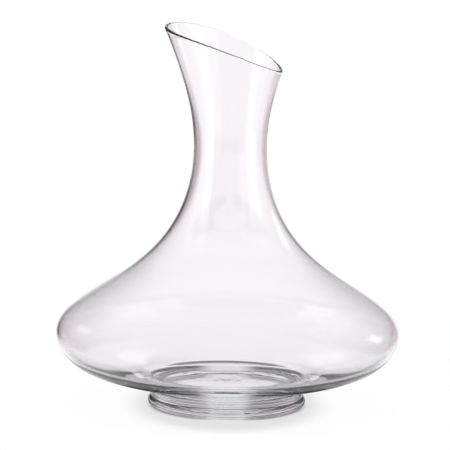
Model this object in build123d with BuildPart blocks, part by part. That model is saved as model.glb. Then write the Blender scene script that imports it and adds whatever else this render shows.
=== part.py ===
from build123d import *
import math
import os

# Wine decanter: one blown glass vessel standing on a pressed glass foot.
#
# Millimetres, +Z up.  The origin is the middle of the underside of the foot, on the axis that
# the bowl, the neck and the foot are turned about.  The mouth is cut on a slant: its high lip,
# the one it pours over, is on the -X side, and its low lip is on the +X side.

# Driving dimensions of the foot: a pressed disc with a bulging edge and a hollow underside
foot_height = 5.8
foot_underside_radius = 42.9
foot_bulge_radius = 45.3
foot_bulge_height = 2.2
foot_top_radius = 43.3
resting_ring_width = 4.5
hollow_depth = 1.8

# Driving dimensions of the vessel
boss_top_radius = 45.6
boss_top_height = 11.5
boss_waist_radius = 43.6
bowl_radius = 99.0
bowl_height = 43.1
waist_radius = 21.0
waist_height = 151.7
outline_end_radius = 46.4
outline_end_height = 240.0

# Wall of the vessel: thick under the bowl, thinning up its underside to an even blown wall
floor_height = 12.6
floor_radius = 38.0
thin_wall = 1.5
thick_wall = 6.0
thinning_top = 31.0
first_inner_station = 0.06    # how far along the outer outline the inner outline starts
inner_stations = 22

# Mouth: a slanted cut, a little crowned across the axis, with a melted, rounded lip
mouth_height = 211.0
mouth_slant = 21.5
mouth_crown_radius = 186.0
lip_rounding = 0.65
cutter_reach = 70.0
cutter_top_height = 250.0

os.makedirs("parts", exist_ok=True)

# Outer outline of the vessel from the boss under the bowl to past the mouth.  The underside
# opens to the widest ring, turns over a round edge, sweeps in to the waist of the neck and
# flares again.
outline_points = [
    (boss_top_radius, boss_top_height),
    (67.8, 18.2),
    (94.5, 30.7),
    (bowl_radius, bowl_height),
    (86.4, 59.5),
    (63.7, 74.9),
    (39.9, 96.0),
    (26.0, 121.0),
    (waist_radius, waist_height),
    (23.4, 174.7),
    (32.0, 203.5),
    (outline_end_radius, outline_end_height),
]


def wall_at(height):
    """Thickness of the glass at a height: it thins smoothly up the underside of the bowl."""
    rise = min(max((height - boss_top_height) / (thinning_top - boss_top_height), 0.0), 1.0)
    return thick_wall + (thin_wall - thick_wall) * math.sin(rise * math.pi / 2)


def inner_point(outline, along):
    """The point inside the glass, one wall thickness in from the outer outline."""
    outer = outline @ along
    tangent = outline % along
    wall = wall_at(outer.Z)
    return (outer.X - tangent.Z * wall, outer.Z + tangent.X * wall)


outline_curve = Spline([(radius, 0, height) for radius, height in outline_points])
station_step = (1 - first_inner_station) / inner_stations
inner_points = [
    inner_point(outline_curve, first_inner_station + station_step * index)
    for index in range(inner_stations + 1)
]
inner_end_radius, inner_end_height = inner_points[-1]

with BuildPart() as vessel:
    with BuildSketch(Plane.XZ):
        with BuildLine():
            outer_side = Spline(outline_points)
            Line(outer_side @ 1, (inner_end_radius, inner_end_height))
            Spline([(floor_radius, floor_height)] + inner_points)
            Polyline((floor_radius, floor_height), (0, floor_height), (0, foot_height),
                     (foot_top_radius, foot_height))
            ThreePointArc(
                (foot_top_radius, foot_height),
                (boss_waist_radius, (foot_height + boss_top_height) / 2),
                outer_side @ 0,
            )
        make_face()
    revolve(axis=Axis.Z)

    # The slanted cut: an arc whose slope on the axis is the slant of the mouth
    slant = math.radians(mouth_slant)
    crown_centre_x = -mouth_crown_radius * math.sin(slant)
    crown_centre_z = mouth_height - mouth_crown_radius * math.cos(slant)
    crown_top_z = crown_centre_z + math.sqrt(
        mouth_crown_radius**2 - (cutter_reach + crown_centre_x) ** 2)
    crown_end_z = crown_centre_z + math.sqrt(
        mouth_crown_radius**2 - (cutter_reach - crown_centre_x) ** 2)
    with BuildSketch(Plane.XZ):
        with BuildLine():
            ThreePointArc((-cutter_reach, crown_top_z), (0, mouth_height),
                          (cutter_reach, crown_end_z))
            Polyline((cutter_reach, crown_end_z), (cutter_reach, cutter_top_height),
                     (-cutter_reach, cutter_top_height), (-cutter_reach, crown_top_z))
        make_face()
    extrude(amount=cutter_reach, both=True, mode=Mode.SUBTRACT)

    lip_face = vessel.faces().sort_by(Axis.Z)[-1]
    fillet(lip_face.edges(), lip_rounding)

vessel.part.label = "vessel"
export_step(vessel.part, "parts/vessel.step")

with BuildPart() as foot:
    with BuildSketch(Plane.XZ):
        with BuildLine():
            hollow_radius = foot_underside_radius - resting_ring_width
            Polyline((0, hollow_depth), (0, foot_height), (foot_top_radius, foot_height))
            ThreePointArc((foot_top_radius, foot_height), (foot_bulge_radius, foot_bulge_height),
                          (foot_underside_radius, 0))
            Line((foot_underside_radius, 0), (hollow_radius, 0))
            TangentArc((0, hollow_depth), (hollow_radius, 0), tangent=(1, 0))
        make_face()
    revolve(axis=Axis.Z)

foot.part.label = "foot"
export_step(foot.part, "parts/foot.step")
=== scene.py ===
import math
import bmesh
import bpy
import numpy as np
from mathutils import Matrix, Vector


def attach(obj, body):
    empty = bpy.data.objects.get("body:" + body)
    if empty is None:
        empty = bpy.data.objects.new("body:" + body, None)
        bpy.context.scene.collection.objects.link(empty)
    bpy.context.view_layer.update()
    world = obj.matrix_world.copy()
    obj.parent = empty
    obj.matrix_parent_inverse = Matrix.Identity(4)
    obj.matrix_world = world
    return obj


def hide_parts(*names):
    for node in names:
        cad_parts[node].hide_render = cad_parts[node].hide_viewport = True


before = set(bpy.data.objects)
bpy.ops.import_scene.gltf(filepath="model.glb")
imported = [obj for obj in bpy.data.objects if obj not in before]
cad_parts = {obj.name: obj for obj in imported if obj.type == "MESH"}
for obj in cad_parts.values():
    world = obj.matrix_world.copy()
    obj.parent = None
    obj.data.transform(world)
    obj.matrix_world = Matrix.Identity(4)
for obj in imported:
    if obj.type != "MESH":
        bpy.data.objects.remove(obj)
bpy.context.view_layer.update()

# Wine decanter: a closed skin of blown glass and one of pressed glass, each turned from outlines
# in millimetres, on a staged table in a staged studio.
MM = 0.001
TINY = 1e-6

# Outline of the blown vessel, from the boss under the bowl to past the mouth (radius, height), mm
OUTLINE_MM = [
    (45.6, 11.5), (67.8, 18.2), (94.5, 30.7), (99.0, 43.1), (86.4, 59.5), (63.7, 74.9),
    (39.9, 96.0), (26.0, 121.0), (21.0, 151.7), (23.4, 174.7), (32.0, 203.5), (46.4, 240.0),
]
BOSS_TOP_MM = OUTLINE_MM[0]
BOSS_WAIST_RADIUS_MM = 43.6
FLOOR_HEIGHT_MM = 12.6
FLOOR_RADIUS_MM = 38.0

# Wall: thick at the boss, thinning up the underside of the bowl, with a lip that melting swells
THIN_WALL_MM = 1.5
THICK_WALL_MM = 6.0
THINNING_TOP_MM = 31.0
LIP_SWELL_MM = 0.15
LIP_SWELL_POWER = 6

# What blowing leaves: a wall that is never quite even, and faint rings on the floor inside
WAVE_MM = 0.05
WAVE_TURNS = 3
WAVE_RISE_MM = 28.0
WAVE_START_MM = (20.0, 34.0)
WAVE_FADE_STEPS = 12
RING_MM = 0.035
RING_SPACING_MM = 5.2

# The slanted cut of the mouth, crowned across the axis
MOUTH_HEIGHT_MM = 211.0
MOUTH_SLANT = math.radians(21.5)
MOUTH_CROWN_MM = 186.0

# The pressed foot: a bulging edge, a flat ring to rest on and a shallow hollow inside the ring.
# It and the boss are fused, so only a gap too thin to see keeps their skins apart.
FOOT_HEIGHT_MM = 5.8
FOOT_TOP_RADIUS_MM = 43.3
FOOT_BULGE_MM = (45.3, 2.2)
FOOT_UNDERSIDE_RADIUS_MM = 42.9
RESTING_RING_MM = 4.5
HOLLOW_DEPTH_MM = 1.8
SEAM_GAP_MM = 0.02
SEAM_HEIGHT_MM = FOOT_HEIGHT_MM + SEAM_GAP_MM

# How finely each stretch of an outline is stepped, and how far up the walls run the same all round
AROUND = 256
OUTLINE_STEPS = 900
OUTSIDE_STEPS = 170
INSIDE_STEPS = 160
NECK_START_MM = 165
NECK_STEPS = 24
LIP_STEPS = 12
LIP_DROP_MM = 1.0
BOSS_STEPS = 10
SEAM_STEPS = 11
FLOOR_STEPS = 63
FLOOR_TURN_RADIUS_MM = 52
FLOOR_TURN_STEPS = 12
FLOOR_TURN_SHARED = 3
FOOT_EDGE_STEPS = 16
FOOT_RING_STEPS = 4
FOOT_HOLLOW_STEPS = 15
SHARP_ANGLE = math.radians(35)

# Glass: its refractive index, and for each piece the cast of a clean face, the colour that light
# takes on a long way through and how fast it takes it on, per metre
GLASS_INDEX = 1.52
BLOWN_CAST = "#fefcfe"
BLOWN_DEPTH = "#c4dcdb"
BLOWN_DENSITY = 3.5
PRESSED_CAST = "#fefcfd"
PRESSED_DEPTH = "#d6e2e1"
PRESSED_DENSITY = 1.5

# Table: a disc of white board, in metres, that glows a little, takes the studio's light and fades
# out at its edge.  A shade under the foot and the bowl is painted into its glow, over the faint real
# shadow that its matt face takes.  A painted lighter pool under the floor of the bowl and a painted
# light strip to the back and front break that painted shade, and the thick parts of the glass pick
# all of that up.
TABLE_FULL = 0.12
TABLE_EDGE = 0.34
TABLE_GLOW = 0.88
TABLE_SEEN_GLOW = (0.73, 0.93)
TABLE_ALBEDO = 0.12
# A painted contact shadow, seen by the camera alone: its glow ramps from dim near the foot to clear
CONTACT_SHADE = (0.044, 0.063)
CONTACT_STRETCH = 1.35
# Painted light: the glow of a lighter strip through the painted shade, and its half width below
STRIP_GLOW = 0.78
# Where the painted shade under the decanter ends: at the foot for the camera, out under the bowl for
# the glass
FOOT_SHADE = (0.041, 0.047)
BOWL_SHADE = (0.056, 0.084)
STRIP_HALF_WIDTH = (0.006, 0.020)
# Radii over which the painted lighter pool of light under the floor of the bowl fades into the painted
# shade
PAINTED_POOL_RADIUS = (0.026, 0.034)
TABLE_SIDES = 96

# Studio: a ring of cards below the horizon and one above it, which meet softly.  Each stop is a
# bearing in degrees from +Y towards +X and its brightness, where 1 is the backdrop.  The glass
# takes its bright and dark lines from them.  A window, a roof, pale ground far down and the dark
# gap where the table ends against the backdrop lie over the rings; rises are sines of the angle
# above the horizon.
BACKDROP = 1.0
BRIGHTEST = 2.0
DIM_CARD = 0.9
CARDS_BELOW = [
    (-180, 0.35), (-140, 0.35), (-128, 0.45), (-121, 1.9), (-104, 1.9), (-98, 1.0), (-82, 1.0),
    (-70, 0.60), (-48, 0.60), (-36, 0.42), (-26, 0.12), (-19, 0.12), (-12, 0.50), (-5, 1.0),
    (5, 1.0), (12, 0.85), (20, 0.60), (34, 0.55), (60, 0.75), (84, 0.80), (98, 1.7), (120, 1.7),
    (126, 1.0), (144, 1.0), (154, 0.40), (180, 0.35),
]
CARDS_ABOVE = [
    (-180, 0.35), (-140, 0.35), (-128, 0.45), (-121, 1.9), (-104, 1.9), (-98, 1.0), (-82, 1.0),
    (-70, 0.50), (-50, 0.30), (-30, 0.12), (-15, 0.12), (-6, 0.90), (6, 0.90), (13, 0.35),
    (20, 0.22), (30, 0.30), (45, 0.60), (60, 0.60), (84, 0.80), (98, 1.7), (120, 1.7),
    (126, 1.0), (144, 1.0), (154, 0.40), (180, 0.35),
]
CARDS_MEET = (-0.06, 0.04)
WINDOW_BEARING = (44.0, 60.0)
WINDOW_RISE = (0.12, 0.50)
WINDOW_LIGHT = 1.7
GAP_BEARING = (-10.0, 10.0)
GAP_RISE = (-0.035, 0.13)
GAP_LIGHT = 0.0
ROOF_LIGHT = 0.70
ROOF_RISE = (0.35, 0.9)
GROUND_LIGHT = 1.0
GROUND_RISE = (-0.27, -0.37)
SOFT_SHARE = 1 / 3


def spline(points, count):
    """A smooth line through the points: a natural cubic along their chord length."""
    p = np.array(points, dtype=float)
    t = np.concatenate([[0.0], np.cumsum(np.linalg.norm(np.diff(p, axis=0), axis=1))])
    h = np.diff(t)
    n = len(p)
    a = np.zeros((n, n))
    b = np.zeros((n, 2))
    a[0, 0] = a[-1, -1] = 1.0
    for i in range(1, n - 1):
        a[i, i - 1:i + 2] = (h[i - 1], 2 * (h[i - 1] + h[i]), h[i])
        b[i] = 6 * ((p[i + 1] - p[i]) / h[i] - (p[i] - p[i - 1]) / h[i - 1])
    m = np.linalg.solve(a, b)
    out = []
    for s in np.linspace(0, t[-1], count):
        i = min(int(np.searchsorted(t, s, side="right")) - 1, n - 2)
        u, v = s - t[i], t[i + 1] - s
        out.append((m[i] * v**3 + m[i + 1] * u**3) / (6 * h[i])
                   + (p[i] / h[i] - m[i] * h[i] / 6) * v + (p[i + 1] / h[i] - m[i + 1] * h[i] / 6) * u)
    return np.array(out)


def arc_through(a, b, c, count):
    """Points on the circle arc from a through b to c."""
    a, b, c = (np.array(q, dtype=float) for q in (a, b, c))
    d = 2 * (a[0] * (b[1] - c[1]) + b[0] * (c[1] - a[1]) + c[0] * (a[1] - b[1]))
    ux = ((a @ a) * (b[1] - c[1]) + (b @ b) * (c[1] - a[1]) + (c @ c) * (a[1] - b[1])) / d
    uy = ((a @ a) * (c[0] - b[0]) + (b @ b) * (a[0] - c[0]) + (c @ c) * (b[0] - a[0])) / d
    centre = np.array([ux, uy])
    angles = [math.atan2(*(q - centre)[::-1]) for q in (a, b, c)]
    turn = (angles[2] - angles[0]) % (2 * math.pi)
    if (angles[1] - angles[0]) % (2 * math.pi) > turn:
        turn -= 2 * math.pi
    radius = np.linalg.norm(a - centre)
    return [centre + radius * np.array([math.cos(angles[0] + turn * k / count),
                                        math.sin(angles[0] + turn * k / count)])
            for k in range(count + 1)]


def wall_at(height):
    """Thickness of the glass at a height: it thins smoothly up the underside of the bowl."""
    rise = np.clip((height - BOSS_TOP_MM[1]) / (THINNING_TOP_MM - BOSS_TOP_MM[1]), 0, 1)
    return THICK_WALL_MM + (THIN_WALL_MM - THICK_WALL_MM) * math.sin(rise * math.pi / 2)


def cut_height(x):
    """Height of the slanted, crowned cut above a point on the X axis."""
    cx = -MOUTH_CROWN_MM * math.sin(MOUTH_SLANT)
    cz = MOUTH_HEIGHT_MM - MOUTH_CROWN_MM * math.cos(MOUTH_SLANT)
    return cz + math.sqrt(MOUTH_CROWN_MM**2 - (x - cx) ** 2)


def wave(angle, height):
    """How far the inside of the blown wall wanders at one place."""
    start = np.clip((height - WAVE_START_MM[0]) / (WAVE_START_MM[1] - WAVE_START_MM[0]), 0, 1)
    return WAVE_MM * start * math.sin(WAVE_TURNS * angle + height / WAVE_RISE_MM)


def resample(line, count):
    """The same line as evenly spaced points."""
    line = np.array(line)
    t = np.concatenate([[0.0], np.cumsum(np.linalg.norm(np.diff(line, axis=0), axis=1))])
    s = np.linspace(0, t[-1], count)
    return np.stack([np.interp(s, t, line[:, k]) for k in (0, 1)], axis=1)


def lathe(name, columns, seam_mm):
    """A closed skin from one outline per step round the axis; each outline ends on the axis."""
    bm = bmesh.new()
    around = len(columns)
    rows = len(columns[0])
    grid = []
    for i in range(rows):
        if all(column[i][0] < TINY for column in columns):
            grid.append([bm.verts.new((0, 0, columns[0][i][1] * MM))] * around)
            continue
        ring = []
        for j, column in enumerate(columns):
            angle = 2 * math.pi * j / around
            r, z = column[i]
            ring.append(bm.verts.new((r * MM * math.cos(angle), r * MM * math.sin(angle), z * MM)))
        grid.append(ring)
    for i in range(rows - 1):
        for j in range(around):
            k = (j + 1) % around
            corners = []
            for v in (grid[i][j], grid[i][k], grid[i + 1][k], grid[i + 1][j]):
                if v not in corners:
                    corners.append(v)
            bm.faces.new(corners)
    bmesh.ops.recalc_face_normals(bm, faces=bm.faces)
    mesh = bpy.data.meshes.new(name)
    bm.to_mesh(mesh)
    bm.free()
    mesh.shade_smooth()
    mesh.set_sharp_from_angle(angle=SHARP_ANGLE)
    fused = mesh.attributes.new("fused", "FLOAT", "FACE")
    for face in mesh.polygons:
        level = all(abs(mesh.vertices[v].co.z - seam_mm * MM) < TINY for v in face.vertices)
        fused.data[face.index].value = 1.0 if level else 0.0
    piece = bpy.data.objects.new(name, mesh)
    bpy.context.scene.collection.objects.link(piece)
    return piece


def boss_line():
    """The underside of the boss from the axis out, and its waisted side up to the bowl."""
    under = [(r, SEAM_HEIGHT_MM) for r in np.linspace(0, FOOT_TOP_RADIUS_MM, SEAM_STEPS + 1)][:-1]
    waist = (BOSS_WAIST_RADIUS_MM, (FOOT_HEIGHT_MM + BOSS_TOP_MM[1]) / 2)
    side = arc_through((FOOT_TOP_RADIUS_MM, SEAM_HEIGHT_MM), waist, BOSS_TOP_MM, BOSS_STEPS)
    return under, side[:-1]


def floor_line(wall):
    """The inside from the foot of the wall, round its turn and over the ringed floor to the axis."""
    turn_points = [(FLOOR_RADIUS_MM, FLOOR_HEIGHT_MM)] + [tuple(q) for q in wall[:FLOOR_TURN_SHARED]]
    turn = spline(turn_points, FLOOR_TURN_STEPS)[:-FLOOR_TURN_SHARED]
    flat = []
    for r in np.linspace(0, FLOOR_RADIUS_MM, FLOOR_STEPS + 1)[:-1]:
        ring = RING_MM * math.sin(2 * math.pi * r / RING_SPACING_MM) * (1 - r / FLOOR_RADIUS_MM)
        flat.append((r, FLOOR_HEIGHT_MM + ring))
    return list(turn[::-1]) + flat[::-1]


def vessel_columns():
    """The blown vessel's outlines, all the way round: each ends at its own height of the cut."""
    outer = spline(OUTLINE_MM, OUTLINE_STEPS)
    tangent = np.gradient(outer, axis=0)
    tangent /= np.linalg.norm(tangent, axis=1)[:, None]
    normal = np.stack([-tangent[:, 1], tangent[:, 0]], axis=1)
    wall = np.array([wall_at(z) for z in outer[:, 1]])
    inner = outer + normal * wall[:, None]
    mid = (outer + inner) / 2
    neck = int(np.argmax(outer[:, 1] > NECK_START_MM))
    floor_start = int(np.argmax(inner[:, 0] > FLOOR_TURN_RADIUS_MM))
    low_outer = resample(outer[:neck + 1], OUTSIDE_STEPS)
    low_inner = resample(inner[floor_start:neck + 1], INSIDE_STEPS)
    under, boss = boss_line()
    floor = floor_line(low_inner)
    swell = [LIP_SWELL_MM * (k / NECK_STEPS) ** LIP_SWELL_POWER for k in range(NECK_STEPS + 1)]
    columns = []
    for j in range(AROUND):
        angle = 2 * math.pi * j / AROUND
        cosine = math.cos(angle)
        end = neck
        while mid[end][1] < cut_height(mid[end][0] * cosine) - LIP_DROP_MM:
            end += 1
        neck_outer = resample(outer[neck:end + 1], NECK_STEPS + 1)
        neck_inner = resample(inner[neck:end + 1], NECK_STEPS + 1)
        neck_outer = [q - normal[end] * s for q, s in zip(neck_outer, swell)]
        neck_inner = [q + normal[end] * s for q, s in zip(neck_inner, swell)]
        bead = wall[end] / 2 + LIP_SWELL_MM
        lip = [mid[end] + tangent[end] * bead * math.sin(a) - normal[end] * bead * math.cos(a)
               for a in np.linspace(0, math.pi, LIP_STEPS + 1)[1:-1]]
        inside = neck_inner[:0:-1] + list(low_inner[::-1][:-FLOOR_TURN_SHARED])
        inside = [(r - wave(angle, z) * min(1, k / WAVE_FADE_STEPS), z)
                  for k, (r, z) in enumerate(inside)]
        column = under + boss + list(low_outer) + neck_outer[1:] + lip + inside + floor
        columns.append([(max(float(r), 0.0), float(z)) for r, z in column])
    return columns


def foot_columns():
    """The pressed foot's outline, the same all the way round."""
    hollow = FOOT_UNDERSIDE_RADIUS_MM - RESTING_RING_MM
    top = [(r, FOOT_HEIGHT_MM) for r in np.linspace(0, FOOT_TOP_RADIUS_MM, SEAM_STEPS + 1)][:-1]
    edge = arc_through((FOOT_TOP_RADIUS_MM, FOOT_HEIGHT_MM), FOOT_BULGE_MM,
                       (FOOT_UNDERSIDE_RADIUS_MM, 0), FOOT_EDGE_STEPS)
    ring_radii = np.linspace(FOOT_UNDERSIDE_RADIUS_MM, hollow, FOOT_RING_STEPS + 1)[1:-1]
    ring = [(r, 0.0) for r in ring_radii]
    dome_radius = (hollow**2 + HOLLOW_DEPTH_MM**2) / (2 * HOLLOW_DEPTH_MM)
    dome = [(r, HOLLOW_DEPTH_MM - dome_radius + math.sqrt(dome_radius**2 - r * r))
            for r in np.linspace(hollow, 0, FOOT_HOLLOW_STEPS + 1)]
    column = top + list(edge) + ring + dome
    return [[(float(r), float(z)) for r, z in column]] * AROUND


def linear(hex_colour):
    """An sRGB hex colour as linear red, green, blue and alpha."""
    values = [int(hex_colour[k:k + 2], 16) / 255 for k in (1, 3, 5)]
    return [v / 12.92 if v <= 0.04045 else ((v + 0.055) / 1.055) ** 2.4 for v in values] + [1.0]


def grey(level):
    """A grey of a linear brightness, as a colour socket takes it."""
    return [level, level, level, 1.0]


WHITE = linear("#ffffff")
# The dark green-grey of the shade painted under the decanter, which the thick glass shows as green
SHADE_COLOUR = linear("#28302f")
CARD_TINT = linear("#fff1f4")


def add(tree, kind, settings=None, **links):
    """One node with its settings, and a link into each named input, or in_N for input N.

    A Mix node takes its factor at 0, then its two numbers at 2 and 3, or its two colours at 6 and
    7, and gives the number at output 0 and the colour at output 2.
    """
    node = tree.nodes.new(kind)
    for key, value in (settings or {}).items():
        if isinstance(key, int) or key in node.inputs.keys():
            node.inputs[key].default_value = value
        else:
            setattr(node, key, value)
    for key, source in links.items():
        socket = int(key[3:]) if key.startswith("in_") else key.replace("_", " ")
        tree.links.new(source, node.inputs[socket])
    return node


def ramp(tree, value, ends, levels=(0.0, 1.0)):
    """A value eased from one level to another between two ends, and flat past them."""
    eased = add(tree, "ShaderNodeMapRange", {
        "From Min": ends[0], "From Max": ends[1], "To Min": levels[0], "To Max": levels[1],
        "interpolation_type": "SMOOTHSTEP"}, Value=value)
    return eased.outputs["Result"]


def glass(name, cast, depth_colour, depth_density):
    """Clear soda-lime glass: colourless where it is thin, greener where light goes far in it.

    The faces marked as fused have no step in refractive index, so the joint can't be seen.
    """
    material = bpy.data.materials.new(name)
    material.use_nodes = True
    tree = material.node_tree
    tree.nodes.clear()
    seam = add(tree, "ShaderNodeAttribute", {"attribute_name": "fused"})
    index = add(tree, "ShaderNodeMapRange", {"To Min": GLASS_INDEX, "To Max": 1.0},
                Value=seam.outputs["Fac"])
    shader = add(tree, "ShaderNodeBsdfPrincipled", {
        "Base Color": linear(cast), "Roughness": 0.0, "IOR": GLASS_INDEX,
        "Transmission Weight": 1.0}, IOR=index.outputs["Result"])
    volume = add(tree, "ShaderNodeVolumeAbsorption", {
        "Color": linear(depth_colour), "Density": depth_density})
    add(tree, "ShaderNodeOutputMaterial", Surface=shader.outputs[0], Volume=volume.outputs[0])
    return material


# Blown glass: the bowl and neck look like a clear film with a cool green at the thick underside,
# partly its own depth colour and partly the green-grey painted shade of the table seen through it
vessel = lathe("vessel_glass", vessel_columns(), SEAM_HEIGHT_MM)
vessel.data.materials.append(
    glass("blown_soda_lime_glass", BLOWN_CAST, BLOWN_DEPTH, BLOWN_DENSITY))
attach(vessel, "root")
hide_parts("vessel")

# Pressed glass: a solid, brighter and nearly colourless disc that bends the table, with its painted
# shade and painted light, into rings
foot = lathe("foot_glass", foot_columns(), FOOT_HEIGHT_MM)
foot.data.materials.append(
    glass("pressed_soda_lime_glass", PRESSED_CAST, PRESSED_DEPTH, PRESSED_DENSITY))
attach(foot, "root")
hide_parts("foot")


def lit_table():
    """The staged table: a board with a painted shade, which fades out at its edge."""
    bm = bmesh.new()
    bmesh.ops.create_circle(bm, cap_ends=True, segments=TABLE_SIDES, radius=TABLE_EDGE)
    mesh = bpy.data.meshes.new("table")
    bm.to_mesh(mesh)
    bm.free()
    table = bpy.data.objects.new("table", mesh)
    bpy.context.scene.collection.objects.link(table)
    material = bpy.data.materials.new("white_board")
    material.use_nodes = True
    tree = material.node_tree
    tree.nodes.clear()
    place = add(tree, "ShaderNodeTexCoord")
    length = add(tree, "ShaderNodeVectorMath", {"operation": "LENGTH"},
                 Vector=place.outputs["Object"])
    radius = length.outputs["Value"]
    seen = add(tree, "ShaderNodeLightPath")

    # Under the decanter: a painted dark shade, but for the painted lighter pool and painted light
    # strip
    axes = add(tree, "ShaderNodeSeparateXYZ", Vector=place.outputs["Object"])
    across = add(tree, "ShaderNodeMath", {"operation": "ABSOLUTE"}, in_0=axes.outputs["X"])
    shaded = add(tree, "ShaderNodeMath", {"operation": "MULTIPLY"},
                 in_0=ramp(tree, across.outputs[0], STRIP_HALF_WIDTH),
                 in_1=ramp(tree, radius, PAINTED_POOL_RADIUS))
    under = add(tree, "ShaderNodeMix", {
        "data_type": "RGBA", 6: grey(STRIP_GLOW), 7: SHADE_COLOUR}, in_0=shaded.outputs[0])

    # Clear of it: the white board, with a soft painted contact shadow that the camera alone sees
    squeeze = add(tree, "ShaderNodeVectorMath", {
        "operation": "MULTIPLY", 1: (1.0, 1 / CONTACT_STRETCH, 0.0)}, in_0=place.outputs["Object"])
    reach = add(tree, "ShaderNodeVectorMath", {"operation": "LENGTH"}, in_0=squeeze.outputs[0])
    contact = ramp(tree, reach.outputs["Value"], CONTACT_SHADE, TABLE_SEEN_GLOW)
    open_level = add(tree, "ShaderNodeMix", {"data_type": "FLOAT", 2: TABLE_GLOW},
                     in_0=seen.outputs["Is Camera Ray"], in_3=contact)
    # The painted shade reaches out under the bowl for the glass, and only under the foot for the
    # camera
    opened = add(tree, "ShaderNodeMix", {"data_type": "FLOAT"}, in_0=seen.outputs["Is Camera Ray"],
                 in_2=ramp(tree, radius, BOWL_SHADE), in_3=ramp(tree, radius, FOOT_SHADE))
    colour = add(tree, "ShaderNodeMix", {"data_type": "RGBA"}, in_0=opened.outputs[0],
                 in_6=under.outputs[2], in_7=open_level.outputs[0])
    matt = add(tree, "ShaderNodeBsdfDiffuse", {"Color": grey(TABLE_ALBEDO)})
    glow = add(tree, "ShaderNodeEmission", {"Strength": 1.0}, Color=colour.outputs[2])
    lit = add(tree, "ShaderNodeAddShader", in_0=matt.outputs[0], in_1=glow.outputs[0])
    clear = add(tree, "ShaderNodeBsdfTransparent")
    whole = add(tree, "ShaderNodeMixShader", in_0=ramp(tree, radius, (TABLE_FULL, TABLE_EDGE)),
                in_1=lit.outputs[0], in_2=clear.outputs[0])
    add(tree, "ShaderNodeOutputMaterial", Surface=whole.outputs[0])
    table.data.materials.append(material)


def within(tree, value, ends):
    """A mask that is 1 where a value lies between two ends, with soft edges."""
    soft = (ends[1] - ends[0]) * SOFT_SHARE
    both = add(tree, "ShaderNodeMath", {"operation": "MULTIPLY"},
               in_0=ramp(tree, value, (ends[0], ends[0] + soft)),
               in_1=ramp(tree, value, (ends[1] - soft, ends[1]), (1.0, 0.0)))
    return both.outputs[0]


def panel(tree, colour, bearing, rise, bearings, rises, level):
    """The colour with one soft-edged panel of even brightness laid over it."""
    across = within(tree, bearing, [math.radians(d) for d in bearings])
    upright = within(tree, rise, rises)
    mask = add(tree, "ShaderNodeMath", {"operation": "MULTIPLY"}, in_0=across, in_1=upright)
    laid = add(tree, "ShaderNodeMix", {"data_type": "RGBA", 7: grey(level / BRIGHTEST)},
               in_0=mask.outputs[0], in_6=colour)
    return laid.outputs[2]


def card_ring(tree, along, cards):
    """The colour of a ring of cards at a bearing, given as 0 to 1 round the object."""
    ring = add(tree, "ShaderNodeValToRGB", Fac=along)
    ring.color_ramp.interpolation = "EASE"
    stops = ring.color_ramp.elements
    stops.remove(stops[1])
    for k, (degrees, level) in enumerate(cards):
        stop = stops[0] if k == 0 else stops.new((degrees + 180) / 360)
        stop.position = (degrees + 180) / 360
        tint = CARD_TINT if level < DIM_CARD else WHITE
        stop.color = [level / BRIGHTEST * t for t in tint[:3]] + [1]
    return ring.outputs["Color"]


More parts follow.
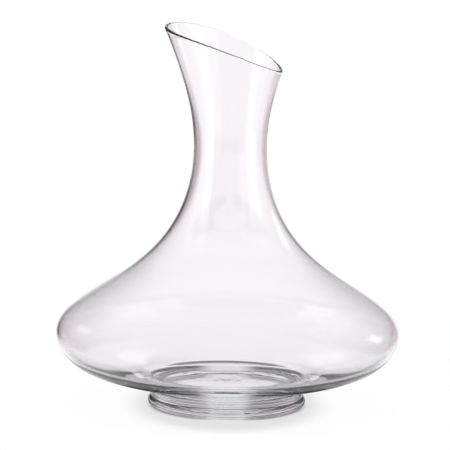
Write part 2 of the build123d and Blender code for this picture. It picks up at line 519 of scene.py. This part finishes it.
def studio_world():
    """The staged studio: the glass shows its cards, and the camera sees the plain backdrop."""
    world = bpy.data.worlds.new("studio")
    bpy.context.scene.world = world
    world.use_nodes = True
    tree = world.node_tree
    tree.nodes.clear()
    place = add(tree, "ShaderNodeTexCoord")
    axes = add(tree, "ShaderNodeSeparateXYZ", Vector=place.outputs["Generated"])
    bearing = add(tree, "ShaderNodeMath", {"operation": "ARCTAN2"},
                  in_0=axes.outputs["X"], in_1=axes.outputs["Y"])
    along = add(tree, "ShaderNodeMapRange", {"From Min": -math.pi, "From Max": math.pi},
                Value=bearing.outputs[0])
    upper = add(tree, "ShaderNodeMapRange", {
        "From Min": CARDS_MEET[0], "From Max": CARDS_MEET[1]}, Value=axes.outputs["Z"])
    ring = add(tree, "ShaderNodeMix", {"data_type": "RGBA"}, in_0=upper.outputs["Result"],
               in_6=card_ring(tree, along.outputs["Result"], CARDS_BELOW),
               in_7=card_ring(tree, along.outputs["Result"], CARDS_ABOVE))
    rise = axes.outputs["Z"]
    roof = add(tree, "ShaderNodeMix", {"data_type": "RGBA", 7: grey(ROOF_LIGHT / BRIGHTEST)},
               in_0=ramp(tree, rise, ROOF_RISE), in_6=ring.outputs[2])
    ground = add(tree, "ShaderNodeMix", {"data_type": "RGBA", 7: grey(GROUND_LIGHT / BRIGHTEST)},
                 in_0=ramp(tree, rise, GROUND_RISE), in_6=roof.outputs[2])
    window = panel(tree, ground.outputs[2], bearing.outputs[0], rise,
                   WINDOW_BEARING, WINDOW_RISE, WINDOW_LIGHT)
    gap = panel(tree, window, bearing.outputs[0], rise, GAP_BEARING, GAP_RISE, GAP_LIGHT)
    room = add(tree, "ShaderNodeBackground", {"Strength": BRIGHTEST}, Color=gap)
    backdrop = add(tree, "ShaderNodeBackground", {"Color": WHITE, "Strength": BACKDROP})
    path = add(tree, "ShaderNodeLightPath")
    both = add(tree, "ShaderNodeMixShader", in_0=path.outputs["Is Camera Ray"],
               in_1=room.outputs[0], in_2=backdrop.outputs[0])
    add(tree, "ShaderNodeOutputWorld", Surface=both.outputs[0])


lit_table()
studio_world()

# Camera: a long lens from the front, looking down by about eleven degrees and rolled by under one
ELEVATION = math.radians(10.83)
DISTANCE = 4.03
ROLL = math.radians(0.85)
AIM = Vector((0, 0, 0.1152))
SENSOR_MM = 36
LENS_MM = 559.7
SHIFT_X = -0.00973
SHIFT_Y = -0.03594
FAR_CLIP = 50

camera_data = bpy.data.cameras.new("camera")
camera = bpy.data.objects.new("camera", camera_data)
bpy.context.scene.collection.objects.link(camera)
camera_data.sensor_width = SENSOR_MM
camera_data.lens = LENS_MM
camera_data.shift_x = SHIFT_X
camera_data.shift_y = SHIFT_Y
camera_data.clip_end = FAR_CLIP
back = Vector((0, -math.cos(ELEVATION), math.sin(ELEVATION)))
camera.location = AIM + back * DISTANCE
level_view = back.to_track_quat("Z", "Y").to_matrix()
camera.rotation_mode = "QUATERNION"
camera.rotation_quaternion = (Matrix.Rotation(ROLL, 3, back) @ level_view).to_quaternion()

# Light has to cross many faces of clear glass before it leaves the thick parts
GLASS_BOUNCES = 24
GLOSSY_BOUNCES = 12
CLEAR_BOUNCES = 16

scene = bpy.context.scene
scene.camera = camera
scene.view_settings.view_transform = "Standard"
scene.cycles.max_bounces = GLASS_BOUNCES
scene.cycles.transmission_bounces = GLASS_BOUNCES
scene.cycles.glossy_bounces = GLOSSY_BOUNCES
scene.cycles.transparent_max_bounces = CLEAR_BOUNCES
